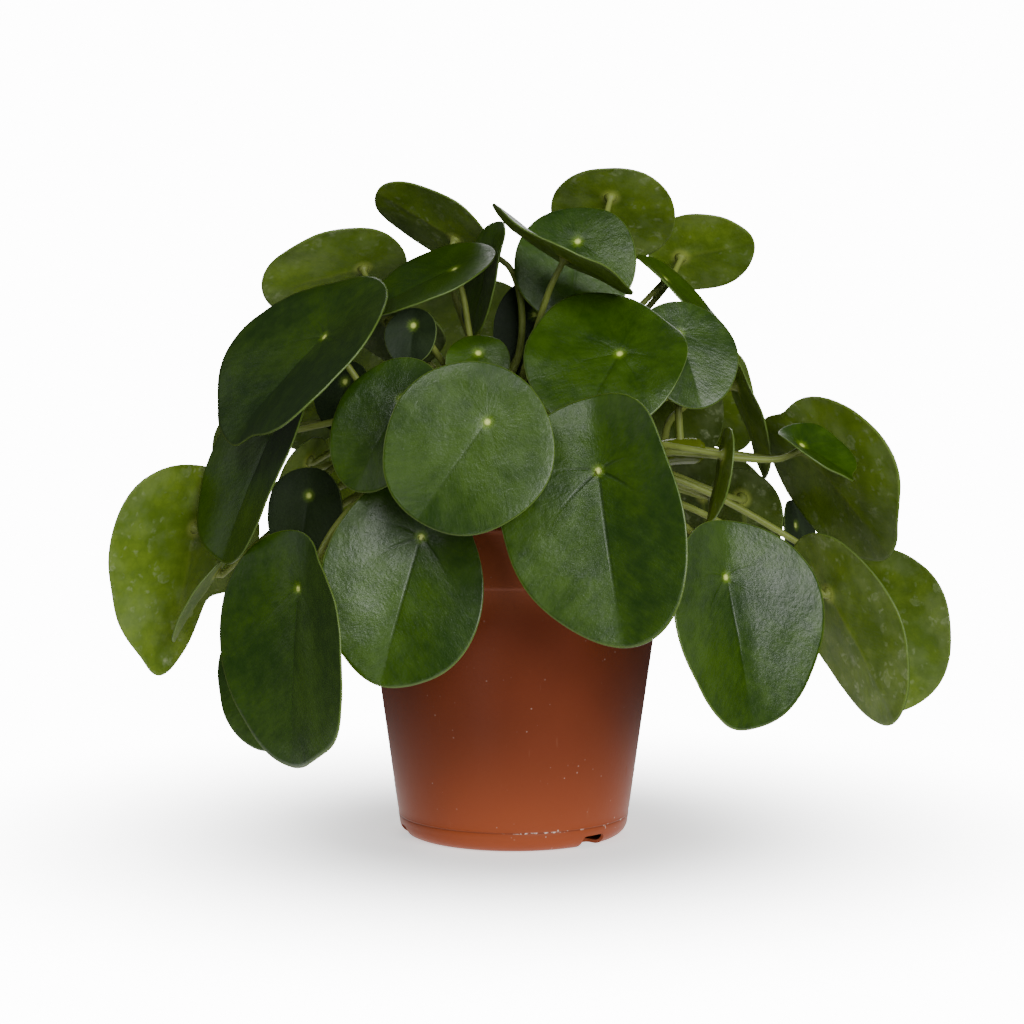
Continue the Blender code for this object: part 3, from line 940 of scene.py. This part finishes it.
OLD_SHOOT = shoot_finish("shoot_bark", 0.55, 1.15, (0.12, 0.14, 0.03), 0.5)
YOUNG_SHOOT = shoot_finish("shoot_green", -0.40, 0.00, (0.080, 0.110, 0.004), 0.12)
for shoot_name in sorted(name for name in NODES if name.startswith("shoot_")):
    if shoot_name == "shoot_right":
        make_shoot(shoot_name, YOUNG_SHOOT, YOUNG_SCAR_SIZE)
    else:
        make_shoot(shoot_name, OLD_SHOOT, SCAR_SIZE)
print("four shoots made")

# %% [markdown]
# ## Pot
#
# A thin moulded nursery pot: a cone with a rounded foot, a mould seam just above it, a plain band
# with a small step at the top and a rolled lip. All of it is round, so one profile holds the whole
# shape. First come its measures and the stretches that it is joined from.

# %% Pot profile parts
WALL = 1.2 * MM
CORNER = 5.5 * MM
SLOPE = 0.139
BAND = 23 * MM
BAND_STEP = 0.6 * MM
LIP = 1.0 * MM
SEAM_HEIGHT = 7.6 * MM
SEAM_STEPS = ((-0.5, 0.0), (-0.25, -0.12), (0.0, -0.16), (0.2, -0.05), (0.45, 0.10), (1.0, 0.0))
BASE_STEPS = ((0, 1.2), (22, 1.2), (24, 0.9), (26.5, 0.2), (28, 0.0))
TOP_RADIUS = POT_HIGH.x - LIP


def wall_radius(height):
    return TOP_RADIUS - SLOPE * (POT_HIGH.z - height)


def base_profile():
    """The underside, from the axis to the ring that the pot stands on. Steps are in mm."""
    return [(radius * MM, height * MM) for radius, height in BASE_STEPS]


def arc(centre, radius, start, end, count):
    turns = [math.radians(start + (end - start) * i / count) for i in range(count + 1)]
    return [(centre[0] + radius * math.cos(a), centre[1] + radius * math.sin(a)) for a in turns]


def seam_profile():
    """A shallow groove with a faint lip above it. Steps are up and out, in mm."""
    return [(wall_radius(SEAM_HEIGHT) + out * MM, SEAM_HEIGHT + up * MM) for up, out in SEAM_STEPS]


def wall_profile(low, high, count, extra=0.0):
    heights = [low + (high - low) * i / count for i in range(count + 1)]
    return [(wall_radius(height) + extra, height) for height in heights]


print("radius at the top in mm:", round(wall_radius(POT_HIGH.z) / MM, 1))

# %% [markdown]
# The profile runs from the axis out along the underside, up the outside, over the lip, down the
# inside and back to the axis. Spun once round, it is a closed thin shell.

# %% Pot shell
POT_STEPS = 180
INNER_FLOOR = 1.9 * MM


def pot_profile():
    top = POT_HIGH.z
    band_start = top - BAND
    band_radius = wall_radius(band_start)
    below_lip = top - 3 * LIP
    corner = (wall_radius(CORNER) - CORNER, CORNER)
    profile = base_profile()
    profile += arc(corner, CORNER, -90, 0, 10)
    profile += seam_profile()
    profile += wall_profile(SEAM_HEIGHT + 3 * MM, band_start - 0.4 * MM, 14)
    profile += [(band_radius + 0.15 * MM, band_start), (band_radius + BAND_STEP, band_start + 0.5 * MM)]
    profile += wall_profile(band_start + 1.2 * MM, below_lip, 5, BAND_STEP)
    profile += arc((wall_radius(top) + 0.1 * MM, top - LIP), 0.9 * LIP, -50, 150, 8)
    profile += [(wall_radius(below_lip) - WALL, below_lip)]
    profile += reversed(wall_profile(12 * MM, band_start, 6, -WALL))
    profile += arc(corner, CORNER - WALL, 0, -90, 5)
    return [*profile, (0, INNER_FLOOR)]


def make_pot_shape():
    bm = bmesh.new()
    corners = [bm.verts.new((radius, 0, height)) for radius, height in pot_profile()]
    edges = [bm.edges.new(pair) for pair in zip(corners, corners[1:])]
    around = {"cent": (0, 0, 0), "axis": UP, "angle": 2 * math.pi}
    bmesh.ops.spin(bm, geom=corners + edges, steps=POT_STEPS, use_merge=True, **around)
    bmesh.ops.remove_doubles(bm, verts=bm.verts, dist=MERGE)
    bmesh.ops.recalc_face_normals(bm, faces=bm.faces)
    return bm


print("points in the pot's profile:", len(pot_profile()))

# %% [markdown]
# ## Drain slots
#
# Water leaves through three slots in the corner of the base. Each is cut by a small box with
# rounded edges. A Boolean does it, and its result is kept as the pot's mesh, so that the cutters
# can go.

# %% Drain slots
DRAIN_TURNS = (-46, 74, 194)  # degrees round the pot
SLOT_SIZE = (18 * MM, 11 * MM, 9.2 * MM)
SLOT_ROUNDING = 1.6 * MM
SHARP_ANGLE = 40


def drain_slot(turn):
    bm = bmesh.new()
    bmesh.ops.create_cube(bm, size=1.0)
    bmesh.ops.scale(bm, verts=bm.verts, vec=SLOT_SIZE)
    rounding = {"offset": SLOT_ROUNDING, "segments": 4, "profile": 0.5}
    bmesh.ops.bevel(bm, geom=bm.edges, affect="EDGES", material=-1, **rounding)
    bmesh.ops.translate(bm, verts=bm.verts, vec=(wall_radius(0), 0, 0))
    spin = Matrix.Rotation(math.radians(turn), 3, "Z")
    bmesh.ops.rotate(bm, verts=bm.verts, cent=(0, 0, 0), matrix=spin)
    mesh = bpy.data.meshes.new("drain_slot")
    bm.to_mesh(mesh)
    bm.free()
    cutter = bpy.data.objects.new("drain_slot", mesh)
    bpy.context.scene.collection.objects.link(cutter)
    return cutter


def cut_slots(piece):
    """Cuts the slots for good, removes the cutters and shades the new mesh."""
    cutters = [drain_slot(turn) for turn in DRAIN_TURNS]
    for cutter in cutters:
        boolean = piece.modifiers.new("slot", "BOOLEAN")
        boolean.object = cutter
        boolean.solver = "EXACT"
    bpy.context.view_layer.update()
    evaluated = piece.evaluated_get(bpy.context.evaluated_depsgraph_get())
    piece.data = bpy.data.meshes.new_from_object(evaluated)
    piece.modifiers.clear()
    for cutter in cutters:
        bpy.data.objects.remove(cutter)
    piece.data.shade_smooth()
    piece.data.set_sharp_from_angle(angle=math.radians(SHARP_ANGLE))


print(len(DRAIN_TURNS), "drain slots")

# %% [markdown]
# ## Pot plastic
#
# The plastic is dark terracotta, with painted light that makes it lighter low down and at the band.
# It carries faint upright scuffs and a few specks of dried dust, most of them along the seam.

# %% Pot finish
DARK_CLAY = (0.098, 0.0180, 0.0050)
CLAY = (0.150, 0.029, 0.0080)
# The next two colours are painted light: the plastic is lighter low down and at the band.
PAINTED_LOW_LIGHT_CLAY = (0.250, 0.052, 0.015)
PAINTED_BAND_LIGHT_CLAY = (0.240, 0.060, 0.022)
SEAM_CLAY = (0.06, 0.015, 0.006)
SCUFF = (0.30, 0.13, 0.08)
DUST = (0.66, 0.56, 0.48)
PAINTED_LOW_LIGHT_HEIGHTS = (0.008, 0.060)  # metres, from full to none
PAINTED_BAND_LIGHT_HEIGHTS = (0.085, 0.100)  # metres, from none to full


def pot_finish():
    pot = Finish("terracotta_plastic", {"IOR": 1.42, "Specular IOR Level": 0.20})
    height = pot.node("ShaderNodeSeparateXYZ", {}, {0: pot.place()}, "Z")
    cloud = pot.noise(24.0, None, 2.0)
    fine = pot.noise(900.0, None, 2.0)
    clay = pot.mix(cloud, DARK_CLAY, CLAY)
    # Painted light: lighter low down, where light bounces up from the floor.
    painted_low_light = 1 - pot.fade(height + cloud * 0.02, *PAINTED_LOW_LIGHT_HEIGHTS)
    clay = pot.mix(painted_low_light * 0.80, clay, PAINTED_LOW_LIGHT_CLAY)
    # Painted light: the band below the rim is lighter.
    clay = pot.mix(pot.fade(height, *PAINTED_BAND_LIGHT_HEIGHTS) * 0.75, clay, PAINTED_BAND_LIGHT_CLAY)
    seam = 1 - pot.fade(abs(height - SEAM_HEIGHT), 0.0001, 0.0004)
    clay = pot.mix(seam * 0.45, clay, SEAM_CLAY)
    low = 1 - pot.fade(height, 0.006, 0.034)
    chosen = pot.fade(pot.noise(60.0, None, 1.0), 0.50, 0.64) * (0.25 + low * 0.75)
    dust = (1 - pot.fade(pot.cells(300.0), 0.06, 0.13)) * chosen
    dust = dust + seam * pot.fade(pot.noise(420.0), 0.55, 0.65) * chosen
    scuff_place = pot.node("ShaderNodeMapping", {}, {0: pot.place(), 3: (420, 420, 60)})
    scuff = pot.fade(pot.noise(1.0, scuff_place, 3.0, 0.7), 0.66, 0.80)
    clay = pot.mix(scuff * 0.14, clay, SCUFF)
    clay = pot.mix(dust * 0.8, clay, DUST)
    roughness = 0.36 + cloud * 0.10 + scuff * 0.15 + dust * 0.2
    pot.surface(clay, roughness, fine * 0.25 + cloud + dust * 0.6, 0.00012)
    return pot


pot = finish_piece("pot_view", make_pot_shape(), [pot_finish()], ["pot"])
cut_slots(pot)
print("pot faces:", len(pot.data.polygons))

# %% [markdown]
# ## Soil
#
# The soil is dark peat, slightly crowned and uneven. Its surface is a disc of rings raised and
# lowered by noise of two sizes. A skirt below it, which narrows with the pot, makes it a solid.

# %% Soil surface
SOIL_RINGS = 30
SOIL_CROWN = 1.5 * MM
SOIL_DROP = 2.6 * MM  # below the CAD soil's top, which leaves room for crumbs
SKIRT = 20 * MM
SKIRT_NARROWING = 0.94


def soil_height(x, y):
    crown = SOIL_CROWN * (1 - (math.hypot(x, y) / SOIL_HIGH.x) ** 2)
    clods = 1.6 * MM * noise.noise(Vector((x, y, 0)) / (9 * MM))
    grains = 0.7 * MM * noise.noise(Vector((x, y, 3)) / (3 * MM))
    return SOIL_HIGH.z - SOIL_DROP + crown + (clods + grains)


def make_soil_shape():
    bm = bmesh.new()
    edges = disc_of_rings(bm, 96, SOIL_RINGS, SOIL_HIGH.x - 0.1 * MM)
    for vertex in bm.verts:
        vertex.co.z = soil_height(vertex.co.x, vertex.co.y)
    skirt, edges = extruded(bm, edges)
    bmesh.ops.translate(bm, verts=skirt, vec=(0, 0, -SKIRT))
    bmesh.ops.scale(bm, verts=skirt, vec=(SKIRT_NARROWING, SKIRT_NARROWING, 1))
    bmesh.ops.holes_fill(bm, edges=edges, sides=0)
    bmesh.ops.recalc_face_normals(bm, faces=bm.faces)
    return bm


print("soil height at the middle in mm:", round(soil_height(0, 0) / MM, 1))

# %% [markdown]
# ## Crumbs
#
# Crumbs, a few bark chips and white perlite are pressed into the surface. Each has only twenty
# faces, because there are hundreds. Particles could scatter them, but a loop with a seeded random
# choice gives the same soil each time.

# %% Crumbs
CRUMB_SEED = 11
CRUMBS = 700
BARK_CHIPS = 90
PERLITES = 60


def add_crumbs(bm, pick, count, smallest, largest, flat, material):
    """Crumbs of a size between two, in mm, at random places on the soil."""
    for _ in range(count):
        turn, reach = pick.uniform(0, 2 * math.pi), math.sqrt(pick.random()) * (SOIL_HIGH.x - 3 * MM)
        size = pick.uniform(smallest, largest) * MM
        spot = Vector((reach * math.cos(turn), reach * math.sin(turn), 0))
        spot.z = soil_height(spot.x, spot.y) + 0.25 * size
        twist = Matrix.Rotation(pick.uniform(0, 6), 4, Vector((pick.random(), pick.random(), 1)))
        stretch = Matrix.Diagonal((pick.uniform(0.7, 1.5), pick.uniform(0.7, 1.2), flat, 1))
        place = Matrix.Translation(spot) @ twist @ stretch
        verts = bmesh.ops.create_icosphere(bm, subdivisions=1, radius=size, matrix=place)["verts"]
        for vertex in verts:
            vertex.co += 0.25 * size * noise.noise_vector(vertex.co / MM)
        for face in dict.fromkeys(face for vertex in verts for face in vertex.link_faces):
            face.material_index = material


print("crumbs, chips and perlite:", CRUMBS, BARK_CHIPS, PERLITES)

# %% [markdown]
# Peat, bark and perlite are all dull and grainy, so one function makes their finishes from a dark
# and a light colour. Then the soil's two pieces are made, the surface and everything on it.

# %% Soil pieces
def crumb_finish(name, dark, light, roughness):
    crumb = Finish(name, {"IOR": 1.4})
    grain = crumb.noise(900.0, None, 3.0, 0.7)
    colour = crumb.mix(grain, dark, light)
    crumb.surface(colour, roughness + grain * 0.1, grain, 0.0006)
    return crumb


PEAT = crumb_finish("peat", (0.010, 0.007, 0.005), (0.060, 0.040, 0.026), 0.85)
BARK_CHIP = crumb_finish("bark_chip", (0.05, 0.024, 0.012), (0.16, 0.085, 0.045), 0.75)
PERLITE = crumb_finish("perlite", (0.45, 0.43, 0.40), (0.72, 0.71, 0.68), 0.8)
finish_piece("soil_view", make_soil_shape(), [PEAT], ["soil"])
crumbs = bmesh.new()
choice = random.Random(CRUMB_SEED)
noise.seed_set(CRUMB_SEED)  # noise vectors differ from run to run unless they are seeded
add_crumbs(crumbs, choice, CRUMBS, 0.7, 2.0, 0.8, 0)
add_crumbs(crumbs, choice, BARK_CHIPS, 1.6, 3.6, 0.35, 1)
add_crumbs(crumbs, choice, PERLITES, 0.8, 1.6, 0.9, 2)
soil_bits = finish_piece("soil_crumbs", crumbs, [PEAT, BARK_CHIP, PERLITE], ["soil"])
print("faces of crumbs:", len(soil_bits.data.polygons))
